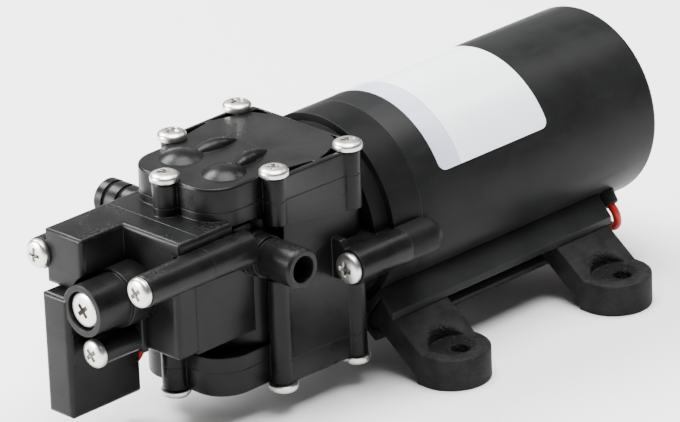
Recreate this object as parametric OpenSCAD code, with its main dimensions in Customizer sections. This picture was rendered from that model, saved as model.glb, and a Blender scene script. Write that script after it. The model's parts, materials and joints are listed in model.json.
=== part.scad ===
// Caravan water pump: two-chamber diaphragm pump with a pressure switch, on slide-on rubber feet
// Units are millimetres, z is up, x runs from the pump head to the rear of the motor
// The origin is the centre of the four foot holes on the mounting plane

/* [Layout] */
// Height of the motor shaft above the mounting plane
axis_z = 41.5; // [40:0.5:48]
// Distance from the foot pattern forward to the side cover screws
head_set = 77.75; // [74:0.25:84]
// Spacing of the foot holes along the motor
foot_pitch = 64; // [52:1:66]
// Spacing of the foot holes across the motor
foot_span = 81; // [79:1:92]

/* [Pump head] */
// How far the middle of the two chambers lies below the shaft
head_drop = 2.9; // [1:0.1:4]
// Distance from the middle of the chambers to the face of each cover
parting = 22.9; // [22:0.1:26]
// Thickness of each cover
cover_t = 6.9; // [6.6:0.1:9]
// Thickness of the ring of the body under each cover
ring_t = 4.3; // [4:0.1:5]
// Half width of the covers over the chamber
cover_half = 17.2; // [17:0.1:18.5]
// Distance of the rear wall of the head behind the side screws
head_rear = 30.5; // [30:0.5:34]
// Distance of the front cover screw ahead of the side screws
screw_front = 20.85; // [20.5:0.05:23]
// Distance of the side cover screws from the middle
screw_side = 19.45; // [19.4:0.05:21]
// Radius of a screw head
screw_head_r = 4.05; // [3.5:0.05:4.2]
// Radius of a screw shank
screw_r = 1.6; // [1.3:0.05:1.8]

/* [Ports and manifold] */
// Outside radius of the straight part of a hose spigot
spigot_r = 5.55; // [5:0.05:6]
// Radius of the water way in a spigot
spigot_bore_r = 3.75; // [3:0.05:4]
// Distance of the right spigot tip from the middle
spigot_tip = 34; // [33:0.5:42]
// Distance of the left spigot tip from the middle
left_tip = 41.5; // [40:0.5:46]
// Distance of the manifold seam ahead of the side screws
seam_set = 26.5; // [26:0.1:28]
// Thickness of the manifold
manifold_t = 6.8; // [6:0.1:8]
// Height of the manifold top above the shaft
manifold_top = 17.6; // [16.8:0.1:18]
// Depth of the manifold bottom below the shaft
manifold_low = 16.7; // [16.5:0.1:17]
// Distance of the clamp tubes from the middle
tube_y = 19.5; // [19.2:0.1:20.5]

/* [Pressure switch] */
// Outside radius of the switch tower
tower_r = 7.1; // [6.9:0.05:7.4]
// Length of the switch tower ahead of the manifold
tower_len = 18.9; // [18.8:0.1:22]
// Width of the switch box
box_w = 10; // [9.6:0.1:11]
// Depth of the switch box below the shaft
box_low = 33.2; // [31.5:0.1:36]

/* [Drive] */
// Radius of the motor shaft
shaft_r = 2.5; // [2:0.1:3]
// Throw of the eccentric
throw = 1.2; // [0.8:0.05:1.3]
// Running clearance of the bushes on their shafts
run_gap = 0.04; // [0.02:0.01:0.08]

/* [Motor] */
// Outside radius of the motor can
can_r = 27.4; // [27:0.1:28]
// Length of the motor can
can_len = 93; // [93:0.5:110]
// Wall thickness of the motor can
can_t = 1.6; // [1.2:0.1:1.8]
// Distance of the motor screws outside the can
motor_screw_gap = 2.1; // [2:0.1:4]

/* [Base and feet] */
// Length of the two rails
rail_len = 86.4; // [86:0.2:92]
// Width of a foot along its rail
foot_w = 21; // [18:0.5:21]
// Thickness of a foot pad
pad_t = 9; // [7:0.1:9]
// Radius of the hole in a foot
foot_hole_r = 2.5; // [2:0.1:3]
// Gap between a foot and its rail
slide_gap = 0.3; // [0.25:0.05:0.4]
// Radius of the insulated leads
lead_r = 1.3; // [1:0.05:1.35]

/* [Hidden] */
$fn = 64;
head_x = -head_set;
fit_gap = 0.05;
move_gap = 0.3;
chamber_x = 2;
chamber_r = 11.9;
plate_r = cover_half - 2.1;
column_r = 3.1;
screw_rear_x = head_rear - 4.95;
screw_rear_y = screw_side + 1.62;
cover_screw_at = [
    [-screw_front, 0], [0, screw_side], [0, -screw_side],
    [screw_rear_x, screw_rear_y], [screw_rear_x, -screw_rear_y]
];
seam_x = -seam_set;
wall_x = seam_x - manifold_t;
tube_z = 9.9;
tube_front = wall_x - 15;
port_x = -4.7;
port_z = 5.6;
ceiling = parting + 3.4;
plate_top = ceiling + 1.5;
gasket_t = 0.5;
disc_t = 1.4;
thread_depth = 5.6;
piston_r = 7.2;
piston_t = 2;
yoke_up = parting - 1.7 - head_drop;
yoke_down = parting - 1.7 + head_drop;
ecc_r = shaft_r + 3.5;
bush_r = ecc_r + 1.6;
hub_r = bush_r + 2;
hub_half = 3.5;
valve_at = [chamber_x - 5, 6];
tower_x = wall_x - tower_len;
box_y = 5.5;
box_front = tower_x - 0.4;
box_rear = wall_x + 4.7;
box_top = 1.7;
box_t = 1.2;
box_round = 1.7;
lid_y = box_y + box_w - 1;
post_y = -0.5;
post_z = -13;
seat_x = tower_x + 6;
spring_x = seat_x + 2.4;
plunger_x = wall_x - 4.9;
arm_z = -2.7;
button_y = box_y + box_w / 2 - 0.5;
button_x = plunger_x - move_gap;
terminal_z = -26;
can_x = head_rear + 16.1;
can_end = can_x + can_len;
can_in = can_r - can_t;
motor_screw_y = can_r + motor_screw_gap;
magnet_r = can_in - 3.1;
core_r = magnet_r - 0.8;
slot_at = core_r - 6.4;
card_end = can_in - 3.4;
register_r = can_r - 2.4;
flange_x = head_rear + 5;
rotor_x = can_x + (can_len - 93) / 2;
rear_hub = can_end - 8.6;
ear_z = -2.4;
ear_x = 17;
rail_x = head_set - rail_len / 2 + 0.25;
grommet_x = rail_x + rail_len + 4.8;
grommet_a = 46;
strut = [-0.8, -0.6];
strut_n = [-0.6, 0.8];
rail_k = can_r / 27.4;
lead_at = rail_pt(25.81, -13.08);
pad_z = -axis_z + pad_t;
foot_y = foot_span / 2;
function rail_pt(u, v) = rail_k * (u * strut + v * strut_n);
function unit(v) = v / norm(v);
function heading(p, i) = unit(p[min(i + 1, len(p) - 1)] - p[max(i - 1, 0)]);
function carried(n, t) = unit(n - (n * t) * t);
function normals(p, n, i = 0) = i == len(p) ? []
    : let (m = carried(n, heading(p, i))) concat([m], normals(p, m, i + 1));

// Moves a piece from the shaft axis at the side screws to its place
module placed() {
    translate([head_x, 0, axis_z]) children();
}

// Moves a piece to the middle of the chambers, the lower one turned over
module chamber(side) {
    translate([0, 0, -head_drop]) mirror([0, 0, side > 0 ? 0 : 1]) children();
}

// Lays a piece along the shaft, starting at x
module along(x, y = 0, z = 0) {
    translate([x, y, z]) rotate([0, 90, 0]) children();
}

// Turns a profile of radius and x about the shaft
module turned(profile) {
    rotate([0, 90, 0]) rotate_extrude() polygon(profile);
}

// Both sides of the middle plane
module both() {
    for (s = [0, 1]) mirror([0, s, 0]) children();
}

// Flat rectangle with round corners
module rounded(x0, x1, y0, y1, r) {
    translate([x0 + r, y0]) square([x1 - x0 - 2 * r, y1 - y0]);
    translate([x0, y0 + r]) square([x1 - x0, y1 - y0 - 2 * r]);
    for (x = [x0 + r, x1 - r], y = [y0 + r, y1 - r]) translate([x, y]) circle(r = r);
}

// Block with round edges along x and all round its front
module soft_block(x0, x1, y0, y1, z0, z1, r) {
    intersection() {
        translate([x0 - 1, 0, 0]) rotate([90, 0, 90]) linear_extrude(x1 - x0 + 2) {
            rounded(y0, y1, z0, z1, r);
        }
        translate([0, 0, z0 - 1]) linear_extrude(z1 - z0 + 2) union() {
            rounded(x0, x1, y0, y1, r);
            translate([x0 + r, y0]) square([x1 - x0 - r, y1 - y0]);
        }
        translate([0, y1 + 1, 0]) rotate([90, 0, 0]) linear_extrude(y1 - y0 + 2) union() {
            rounded(x0, x1, z0, z1, r);
            translate([x0 + r, z0]) square([x1 - x0 - r, z1 - z0]);
        }
    }
}

// Round wire along a list of points
module wire(path, r, start, sides) {
    n = normals(path, start);
    last = len(path) - 1;
    pts = [for (i = [0:last], k = [0:sides - 1])
        path[i] + r * (cos(k * 360 / sides) * n[i]
        + sin(k * 360 / sides) * cross(heading(path, i), n[i]))];
    skin = [for (i = [0:last - 1], k = [0:sides - 1], h = [0, 1])
        let (a = i * sides + k, b = i * sides + (k + 1) % sides)
        h == 0 ? [a, a + sides, b + sides] : [a, b + sides, b]];
    caps = [for (k = [1:sides - 2], h = [0, 1])
        h == 0 ? [0, k, k + 1] : [last * sides, last * sides + k + 1, last * sides + k]];
    polyhedron(points = pts, faces = concat(skin, caps));
}

// Coil spring along z from zero to its length
module coil(r, wire_r, length, turns) {
    steps = round(turns * 12);
    wire([for (i = [0:steps]) [r * cos(i * 30), r * sin(i * 30),
        wire_r + (length - 2 * wire_r) * i / steps]], wire_r, [1, 0, 0], 6);
}

// Cross recess along x for a screwdriver, with its floor at a depth
module cross_recess(reach, width, depth) {
    for (a = [45, 135]) rotate([a, 0, 0]) translate([-1, -reach, -width / 2]) {
        cube([depth + 1, 2 * reach, width]);
    }
}

// Pan head screw along x, the head face at zero
module pan_screw(length, head_r, shank_r, head_t) {
    difference() {
        turned([[0, 0], [head_r * 0.55, 0], [head_r * 0.85, head_t * 0.2], [head_r, head_t * 0.6],
            [head_r, head_t], [shank_r, head_t], [shank_r, head_t + length], [0, head_t + length]]);
        cross_recess(head_r * 0.52, 0.95, head_t * 0.6);
    }
}

// Outline of the covers and of the rings under them
module head_outline() {
    rounded(-screw_front + 0.85, 8, -cover_half, cover_half, 9.5);
    translate([4, -cover_half]) square([6, 2 * cover_half]);
    rear_outline();
    translate(cover_screw_at[0]) circle(r = 3.6);
    for (i = [1, 2]) translate(cover_screw_at[i]) circle(r = column_r);
    for (i = [3, 4]) translate(cover_screw_at[i]) circle(r = 3.3);
}

// Outline of the block behind the chamber, with round rear corners
module rear_outline() {
    r = 5.2;
    x = head_rear - r;
    y = screw_rear_y + 1.5 - r;
    polygon(concat(
        [[0, -screw_side - 2.6]],
        [for (a = [-85:17:0]) [x + r * cos(a), -y + r * sin(a)]],
        [for (a = [0:17:85]) [x + r * cos(a), y + r * sin(a)]],
        [[0, screw_side + 2.6]]
    ));
}

// Bulge over a valve: a low dome with a leaf-shaped ridge behind it
module bulge() {
    dome_h = 2.1;
    dome_base = 6;
    dome_r = (dome_base * dome_base + dome_h * dome_h) / (2 * dome_h);
    ridge = [[0, 0], [1.5, 0], [1.7, 5], [2.5, 8], [2.75, 11], [2.3, 14],
        [1.4, 16.5], [0.3, 18.8], [0, 18.8]];
    intersection() {
        translate([-7.3, 8.2, cover_t]) union() {
            translate([0, 0, dome_h - dome_r]) sphere(r = dome_r);
            rotate([0, 0, -8.2]) translate([0, 0, -0.5]) turned(ridge);
        }
        translate([-20, -5, cover_t - 0.6]) cube([40, 25, 5]);
    }
}

// One cover, its parting face at zero
module cover() {
    difference() {
        union() {
            linear_extrude(cover_t) head_outline();
            both() bulge();
        }
        for (p = cover_screw_at) translate([p[0], p[1], -1]) cylinder(r = screw_r + 0.2, h = cover_t + 5);
        translate([chamber_x, 0, -1]) {
            cylinder(r = plate_r + fit_gap, h = plate_top + gasket_t - parting + 1);
        }
        both() translate([0, 0, 1.4]) linear_extrude(cover_t) {
            polygon([[4.2, screw_side - 1.1], [13.4, screw_side + 0.8], [13.4, screw_side + 1.4],
                [4.2, screw_side + 1.4]]);
            polygon([[15.6, screw_side + 1], [screw_rear_x - 2.8, screw_side - 1.6],
                [screw_rear_x - 3, screw_side + 1.6], [15.6, screw_side + 1.5]]);
            polygon([[head_rear - 4.2, 17.2], [head_rear - 1.7, 11.6], [head_rear - 1.2, 11.6],
                [head_rear - 1.2, 17.2]]);
        }
    }
}

module upper_cover() {
    color("#1b1c1e") placed() chamber(1) translate([0, 0, parting]) cover();
}

module lower_cover() {
    color("#1b1c1e") placed() chamber(-1) translate([0, 0, parting]) cover();
}

// One hose spigot along z, with its tip at a distance
module spigot(tip) {
    translate([0, 0, 12]) cylinder(r = spigot_r + 0.8, h = 5.5);
    translate([0, 0, 17]) cylinder(r1 = spigot_r + 0.7, r2 = spigot_r + 0.2, h = 4.2);
    translate([0, 0, 20]) cylinder(r = spigot_r - 0.6, h = 4);
    translate([0, 0, 22.2]) cylinder(r = spigot_r, h = tip - 23);
    translate([0, 0, tip - 0.81]) cylinder(r1 = spigot_r, r2 = spigot_r - 0.6, h = 0.81);
}

// Ring cut out of the left spigot
module spigot_groove(at) {
    translate([0, 0, at]) difference() {
        cylinder(r = spigot_r + 2, h = 1.3);
        translate([0, 0, -1]) cylinder(r = spigot_r - 0.7, h = 4);
    }
}

// Ear with its boss for a motor screw on the left side
module ear() {
    translate([ear_x, 15, ear_z - 4.2]) cube([flange_x - ear_x, motor_screw_y - 15, 8.4]);
    translate([ear_x, 0, 0]) rotate([90, 0, 90]) linear_extrude(2.4) {
        polygon([[15, ear_z - 5.6], [motor_screw_y - 2, ear_z - 4.5], [motor_screw_y - 2, ear_z + 4],
            [motor_screw_y - 4, ear_z + 6.6], [15, ear_z + 6.6]]);
    }
    along(ear_x, motor_screw_y, ear_z) cylinder(r = 5, h = flange_x - ear_x);
}

module pump_body() {
    top = parting - ring_t;
    color("#202124") placed() difference() {
        union() {
            for (s = [-1, 1]) chamber(s) {
                translate([0, 0, top]) linear_extrude(ring_t) head_outline();
                both() translate([0, screw_side, top - (s > 0 ? 2.4 : 19)]) {
                    cylinder(r = column_r, h = s > 0 ? 3 : 19.5);
                }
                both() translate([screw_rear_x, screw_rear_y, top - (s > 0 ? 5.5 : 11)]) {
                    cylinder(r = 3.3, h = s > 0 ? 6 : 11.5);
                }
                translate([-screw_front, 0, top - 2.4]) cylinder(r = 3.6, h = 3);
            }
            translate([chamber_x, 0, -head_drop - top - 0.5]) cylinder(r = 16.2, h = 2 * top + 1);
            translate([0, 0, -head_drop - top - 0.5]) linear_extrude(2 * top + 1) rear_outline();
            translate([seam_x, -15.8, -manifold_low]) cube([21, 31.6, manifold_low + 14.5]);
            soft_block(seam_x - 4, seam_x + 12, -18, 18, 13, manifold_top, 1.6);
            for (s = [-1, 1]) along(seam_x, s * tube_y, tube_z) cylinder(r1 = 4.6, r2 = 4.7, h = 15.7);
            translate([port_x, 0, port_z]) rotate([90, 0, 0]) spigot(spigot_tip);
            translate([port_x, 0, port_z]) rotate([-90, 0, 0]) spigot(left_tip);
            both() ear();
        }
        translate([seam_x - 10, -30, -40]) cube([10, 60, 80]);
        translate([chamber_x, 0, -60]) cylinder(r = chamber_r, h = 120);
        along(chamber_x, 0, 0) cylinder(r = 9, h = 60);
        along(head_rear) cylinder(r = register_r + fit_gap, h = 20);
        for (s = [-1, 1]) {
            chamber(s) {
                translate([chamber_x, 0, parting - 1.8]) cylinder(r = plate_r + fit_gap, h = 9);
                for (p = cover_screw_at) translate([p[0], p[1], parting - thread_depth - move_gap]) {
                    cylinder(r = screw_r, h = thread_depth + 9);
                }
            }
            along(seam_x - 1, s * tube_y, tube_z) cylinder(r = screw_r, h = 14);
            along(10, s * motor_screw_y, ear_z) cylinder(r = screw_r + 0.4, h = 40);
            translate([port_x, 0, port_z]) rotate([s * 90, 0, 0]) translate([0, 0, 13]) {
                cylinder(r = spigot_bore_r, h = 40);
            }
        }
        translate([port_x, 0, port_z]) rotate([-90, 0, 0]) {
            spigot_groove(left_tip - 4.6);
            spigot_groove(left_tip - 9.4);
        }
        translate([seam_x + 2.9, button_y - 0.5, -manifold_low - 1]) cylinder(r = lead_r + 0.1, h = 5);
        along(seam_x - 1, post_y, post_z) cylinder(r = screw_r, h = 7);
    }
}

module front_manifold() {
    color("#1d1e20") placed() difference() {
        union() {
            soft_block(wall_x, seam_x + 5, -15.8, 15.8, -manifold_low, manifold_top - 1.1, 1.8);
            soft_block(wall_x, seam_x + 5, -18, 18, 13, manifold_top, 1.6);
            difference() {
                soft_block(tube_front, wall_x + 5, 3.5, 18, box_top + 0.05, manifold_top, 1.6);
                along(tube_front - 5) cylinder(r = tower_r + 1.06 + fit_gap, h = wall_x - tube_front + 5);
            }
            for (s = [-1, 1]) along(tube_front, s * tube_y, tube_z) {
                cylinder(r1 = 4.35, r2 = 4.6, h = seam_x - tube_front);
            }
        }
        translate([seam_x, -40, -40]) cube([20, 80, 80]);
        for (s = [-1, 1]) along(tube_front - 1, s * tube_y, tube_z) cylinder(r = screw_r + 0.2, h = 40);
        along(wall_x - 1, 0, 0) cylinder(r = 2, h = 20);
        along(wall_x - 1, post_y, post_z) cylinder(r = screw_r, h = 20);
        along(seam_x - 1.2, 0, 0) difference() {
            cylinder(r = 9, h = 5);
            translate([0, 0, -1]) cylinder(r = 7, h = 7);
        }
    }
}

module manifold_seal() {
    color("#0d0d0e") placed() turned([[7, seam_x - 1.2], [9, seam_x - 1.2], [9, seam_x], [7, seam_x]]);
}

module cover_screws() {
    color("#c9ccd0") placed() for (s = [-1, 1]) chamber(s) for (p = cover_screw_at) {
        translate([p[0], p[1], parting + cover_t + 2.5]) rotate([0, 90, 0]) {
            pan_screw(cover_t + thread_depth, screw_head_r, screw_r, 2.5);
        }
    }
}

module manifold_screws() {
    color("#c9ccd0") placed() for (s = [-1, 1]) translate([tube_front - 2.5, s * tube_y, tube_z]) {
        pan_screw(seam_x - tube_front + 12, screw_head_r, screw_r, 2.5);
    }
}

module switch_screw() {
    color("#c9ccd0") placed() translate([tube_front - 2.3, post_y, post_z]) {
        pan_screw(wall_x - tube_front + 12, screw_head_r - 0.1, screw_r, 2.5);
    }
}

// Diaphragm of one chamber with its middle lifted
module diaphragm(lift) {
    base = parting - 1.7 + lift;
    translate([chamber_x, 0, 0]) rotate_extrude() polygon([
        [1.6, base], [7.4, base], [7.4, base + 0.2], [chamber_r - 0.3, parting - 1.5],
        [chamber_r + 0.1, parting - 1.8], [plate_r, parting - 1.8], [plate_r, parting],
        [chamber_r + 0.1, parting], [chamber_r - 0.3, parting - 0.5], [7.4, base + 1.2],
        [7.4, base + disc_t], [1.6, base + disc_t]
    ]);
}

module upper_diaphragm() {
    color("#26282b") placed() chamber(1) diaphragm(throw);
}

module lower_diaphragm() {
    color("#26282b") placed() chamber(-1) diaphragm(-throw);
}

// Piston of one chamber
module piston(lift) {
    low = parting - 1.7 + disc_t + lift;
    translate([chamber_x, 0, 0]) rotate_extrude() polygon([
        [1.6, low], [piston_r, low], [piston_r, low + piston_t - 0.6], [piston_r - 0.6, low + piston_t],
        [2.8, low + piston_t], [2.8, low + 0.8], [1.6, low + 0.8]
    ]);
}

module upper_piston() {
    color("#d9d6cc") placed() chamber(1) piston(throw);
}

module lower_piston() {
    color("#d9d6cc") placed() chamber(-1) piston(-throw);
}

module piston_screws() {
    color("#c9ccd0") placed() for (s = [-1, 1]) chamber(s) {
        low = parting - 1.7 + disc_t + s * throw;
        translate([chamber_x, 0, 0]) rotate_extrude() polygon([
            [0, low - 7], [1.5, low - 7], [1.5, low + 0.8], [2.7, low + 0.8], [2.7, low + 1.8],
            [0, low + 1.8]
        ]);
    }
}

// Valve plate of one chamber
module valve_plate() {
    difference() {
        translate([chamber_x, 0, parting]) cylinder(r = plate_r, h = plate_top - parting);
        translate([chamber_x, 0, parting - 1]) cylinder(r = chamber_r, h = ceiling - parting + 1);
        translate([valve_at[0], valve_at[1], ceiling - 1]) cylinder(r = 3.7, h = 1.8);
        translate([valve_at[0], -valve_at[1], ceiling + 0.7]) cylinder(r = 3.7, h = 3);
        for (s = [-1, 1]) translate([valve_at[0], s * valve_at[1], ceiling - 1]) {
            cylinder(r = 0.9, h = 4);
            for (i = [0:4]) rotate([0, 0, i * 72]) translate([2.2, 0, 0]) cylinder(r = 0.6, h = 4, $fn = 24);
        }
    }
}

module upper_valve_plate() {
    color("#8d9196") placed() chamber(1) valve_plate();
}

module lower_valve_plate() {
    color("#8d9196") placed() chamber(-1) valve_plate();
}

// Inlet and outlet umbrella valve of one chamber
module valves() {
    translate([valve_at[0], valve_at[1], ceiling + 0.8]) {
        translate([0, 0, -0.6]) cylinder(r = 3.4, h = 0.6);
        translate([0, 0, -0.3]) cylinder(r = 0.9, h = 1);
    }
    translate([valve_at[0], -valve_at[1], ceiling + 0.7]) {
        cylinder(r = 3.4, h = 0.6);
        translate([0, 0, -0.7]) cylinder(r = 0.9, h = 1);
    }
}

module upper_valves() {
    color("#2f6f8f") placed() chamber(1) valves();
}

module lower_valves() {
    color("#2f6f8f") placed() chamber(-1) valves();
}

// Flat gasket over a valve plate
module gasket() {
    translate([chamber_x, 0, plate_top]) difference() {
        cylinder(r = plate_r - 0.1, h = gasket_t);
        translate([0, 0, -1]) cylinder(r = chamber_r + 0.2, h = 3);
    }
}

module upper_gasket() {
    color("#0d0d0e") placed() chamber(1) gasket();
}

module lower_gasket() {
    color("#0d0d0e") placed() chamber(-1) gasket();
}

module eccentric() {
    color("#b08d46") placed() difference() {
        along(chamber_x - hub_half, 0, throw) cylinder(r = ecc_r, h = 2 * hub_half);
        along(chamber_x - 20, 0, 0) cylinder(r = shaft_r, h = 40);
    }
}

module drive_bush() {
    color("#a8793a") placed() difference() {
        along(chamber_x - hub_half, 0, throw) cylinder(r = bush_r, h = 2 * hub_half);
        along(chamber_x - 20, 0, throw) cylinder(r = ecc_r + run_gap, h = 40);
    }
}

module drive_yoke() {
    low = parting - 1.7;
    color("#e3e1da") placed() difference() {
        union() {
            along(chamber_x - hub_half, 0, throw) cylinder(r = hub_r, h = 2 * hub_half);
            for (s = [-1, 1]) chamber(s) translate([chamber_x, 0, low + s * throw]) {
                translate([0, 0, -2]) cylinder(r = piston_r, h = 2);
                translate([0, 0, -low + s * head_drop]) cylinder(r = 3.4, h = low - s * head_drop);
            }
        }
        along(chamber_x - 20, 0, throw) cylinder(r = bush_r, h = 40);
        for (s = [-1, 1]) chamber(s) translate([chamber_x, 0, low + s * throw - 6]) {
            cylinder(r = 1.5, h = 9);
        }
    }
}

module motor_flange() {
    color("#2a2c2f") placed() difference() {
        union() {
            turned([
                [3.2, head_rear - 2], [8.95, head_rear - 2], [8.95, head_rear], [register_r, head_rear],
                [register_r, flange_x], [can_r, flange_x], [can_r, can_x], [can_in - fit_gap, can_x],
                [can_in - fit_gap, can_x + 3.4], [can_in - 1.8, can_x + 3.4], [can_in - 1.8, flange_x + 3],
                [9, flange_x + 3],
                [9, can_x - 4], [6, can_x - 4], [6, can_x - 9], [3.2, can_x - 9]
            ]);
            for (s = [-1, 1]) difference() {
                union() {
                    along(flange_x, s * motor_screw_y, ear_z) cylinder(r = 5, h = 9);
                    translate([flange_x + 9, s * motor_screw_y, ear_z]) intersection() {
                        scale(5) sphere(r = 1);
                        translate([-0.4, -9, -9]) cube([9, 18, 18]);
                    }
                }
                along(flange_x - 9, 0, 0) cylinder(r = can_r, h = 60);
            }
        }
        for (s = [-1, 1]) along(flange_x - 6, s * motor_screw_y, ear_z) cylinder(r = screw_r + 0.3, h = 14.5);
        rotate([atan2(lead_at[0], -lead_at[1]), 0, 0]) {
            translate([flange_x + 0.9, -lead_r - 0.2, -can_r - 4.6]) cube([7.2, 2 * lead_r + 0.4, 10]);
        }
    }
}

module motor_can() {
    color("#17181a") placed() difference() {
        turned([
            [can_in, can_x], [can_r, can_x], [can_r, can_end - 1.8], [can_r - 0.53, can_end - 0.53],
            [can_r - 1.8, can_end], [0, can_end], [0, can_end - can_t], [5, can_end - can_t],
            [5, rear_hub], [7.5, rear_hub], [7.5, can_end - can_t], [can_in, can_end - can_t]
        ]);
        rotate([90 + grommet_a, 0, 0]) translate([grommet_x, 0, can_r - 6]) cylinder(r = 2.2, h = 12);
    }
}

module motor_label() {
    color("#e8e9ea") placed() along(can_x + 9.4) rotate([0, 0, 114]) {
        rotate_extrude(angle = 132) translate([can_r + 0.02, 0]) square([0.12, 42]);
    }
}

module armature_core() {
    color("#6e7175") placed() along(rotor_x + 19.4) difference() {
        cylinder(r = core_r, h = 40);
        translate([0, 0, -1]) cylinder(r = shaft_r, h = 42);
        for (i = [0:7]) rotate([0, 0, i * 45]) translate([slot_at, 0, -1]) {
            cylinder(r = 3.2, h = 42);
            translate([0, -0.8, 0]) cube([9, 1.6, 42]);
        }
    }
}

module armature_windings() {
    color("#b0643a") placed() along(rotor_x + 12) {
        for (z = [0, 47.5]) translate([0, 0, z]) rotate_extrude() {
            polygon([
                [7, 1.5], [8.5, 0], [core_r - 4.4, 0], [core_r - 2.9, 1.5], [core_r - 2.9, 5.8],
                [core_r - 4.4, 7.3], [8.5, 7.3], [7, 5.8]
            ]);
        }
        for (i = [0:7]) rotate([0, 0, i * 45]) translate([slot_at, 0, 5]) cylinder(r = 3.1, h = 45);
    }
}

module commutator() {
    color("#b5733c") placed() along(rotor_x + 68.4) difference() {
        cylinder(r = 8.5, h = 9);
        translate([0, 0, -1]) cylinder(r = shaft_r, h = 12);
    }
}

module motor_shaft() {
    color("#b9bcc0") placed() along(chamber_x - hub_half) {
        cylinder(r = shaft_r, h = can_end - can_t - 1 - chamber_x + hub_half);
    }
}

module front_bearing() {
    color("#a8793a") placed() along(can_x - 9) difference() {
        cylinder(r = 6, h = 5);
        translate([0, 0, -1]) cylinder(r = shaft_r + run_gap, h = 8);
    }
}

module rear_bearing() {
    color("#a8793a") placed() along(rear_hub) difference() {
        cylinder(r = 5, h = 5);
        translate([0, 0, -1]) cylinder(r = shaft_r + run_gap, h = 8);
    }
}

module magnets() {
    color("#3a3b3e") placed() along(rotor_x + 14) for (a = [30, 210]) {
        rotate([0, 0, a]) rotate_extrude(angle = 120) translate([magnet_r, 0]) {
            square([can_in - magnet_r, 50]);
        }
    }
}

module brush_card() {
    color("#5b3a22") placed() difference() {
        union() {
            along(rotor_x + 79) cylinder(r = can_in - fit_gap, h = 2);
            both() translate([rotor_x + 68.8, 10.6, -4.2]) cube([11, card_end + 1.6 - 10.6, 8.4]);
        }
        along(rotor_x + 60) cylinder(r = 9.2, h = 40);
        both() translate([rotor_x + 70.4, 5, -3]) cube([5, card_end - 5, 6]);
        rotate([90 + grommet_a, 0, 0]) translate([grommet_x, 0, can_r - 7.4]) cylinder(r = 3.4, h = 12);
    }
}

module brushes() {
    color("#2b2b2d") placed() both() difference() {
        translate([rotor_x + 70.4, 8, -3]) cube([5, card_end - 15, 6]);
        along(rotor_x + 60) cylinder(r = 8.5 + run_gap, h = 40);
    }
}

module brush_springs() {
    color("#b9bcc0") placed() both() translate([rotor_x + 72.9, card_end - 7, 0]) rotate([-90, 0, 0]) {
        coil(1.8, 0.35, 7, 4);
    }
}

module motor_screws() {
    color("#c9ccd0") placed() for (s = [-1, 1]) translate([ear_x - 2.5, s * motor_screw_y, ear_z]) {
        pan_screw(flange_x - ear_x + 8, screw_head_r + 0.2, screw_r + 0.3, 2.5);
    }
}

module lead_grommet() {
    color("#0d0d0e") placed() rotate([90 + grommet_a, 0, 0]) translate([grommet_x, 0, 0]) {
        difference() {
            union() {
                translate([0, 0, can_r - 3.4]) cylinder(r = 2.2, h = 5);
                difference() {
                    translate([0, 0, can_r - 0.8]) cylinder(r1 = 3.2, r2 = 2.5, h = 4.4);
                    rotate([0, 90, 0]) translate([0, 0, -20]) cylinder(r = can_r, h = 40);
                }
            }
            cylinder(r = lead_r, h = 60);
        }
    }
}

// Section of one rail with its channel, on the right side
module rail_section() {
    web = can_r + 0.3;
    polygon([
        rail_pt(26.8, -0.9), rail_pt(34.7, -2.46), rail_pt(36, -4.2), rail_pt(29, -2.9),
        rail_pt(29, -13), rail_pt(33.2, -13), rail_pt(33.2, -11.6), rail_pt(35.3, -11.6),
        rail_pt(35.3, -14.8), rail_pt(27.2, -15.2), [0.5, -web - 2.2], [0.5, -web],
        [rail_pt(27.5, -13.4)[0] + 0.8, -web], rail_pt(27.5, -13.4), rail_pt(26.49, -7),
        rail_pt(25.8, -4)
    ]);
}

module base_rail() {
    color("#26282b") placed() translate([rail_x, 0, 0]) rotate([90, 0, 90]) difference() {
        union() {
            linear_extrude(rail_len) rail_section();
            mirror([1, 0, 0]) linear_extrude(rail_len) rail_section();
        }
        translate([0, 0, -1]) cylinder(r = can_r + 0.02, h = rail_len + 2);
    }
}

// One foot on the right side, its middle at zero along the rail
module foot() {
    g = slide_gap / rail_k;
    edge = rail_k * (-4.2 - g);
    under = rail_k * (-11.6 + g);
    crease = (0.8 * pad_z - edge) / 0.6;
    inner = -foot_y + 6.5;
    tip = foot_y + 7.5;
    difference() {
        intersection() {
            translate([-foot_w / 2, 0, 0]) rotate([90, 0, 90]) linear_extrude(foot_w) polygon([
                rail_pt(29 + g, -3 - g), rail_pt(36, -4.22 - g), [crease, pad_z],
                [-tip, pad_z], [-tip, -axis_z], [inner, -axis_z],
                [inner, (under + 0.6 * inner) / 0.8], rail_pt(33.2 - g, -11.6 + g),
                rail_pt(33.2 - g, -13 + g), rail_pt(29 + g, -13 + g)
            ]);
            translate([0, 0, -axis_z - 1]) linear_extrude(60) {
                translate([-foot_w / 2, -tip + foot_w / 2]) square([foot_w, 40]);
                translate([0, -tip + foot_w / 2]) circle(r = foot_w / 2);
            }
        }
        translate([0, -foot_y, -axis_z - 1]) cylinder(r = foot_hole_r, h = 30);
        translate([0, -foot_y, pad_z]) cylinder(r = foot_w / 2 - 2, h = 30);
    }
}

module right_foot(x) {
    color("#2b2c2e") translate([x, 0, axis_z]) foot();
}

module front_left_foot() {
    mirror([0, 1, 0]) right_foot(-foot_pitch / 2);
}

module front_right_foot() {
    right_foot(-foot_pitch / 2);
}

module rear_left_foot() {
    mirror([0, 1, 0]) right_foot(foot_pitch / 2);
}

module rear_right_foot() {
    right_foot(foot_pitch / 2);
}

// Outside of the switch box with its lid
module box_outside() {
    soft_block(box_front, wall_x, box_y, box_y + box_w, -box_low, box_top, box_round);
    soft_block(box_front, box_rear, box_y, box_y + box_w, -box_low, -manifold_low - 0.1, box_round);
}

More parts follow.
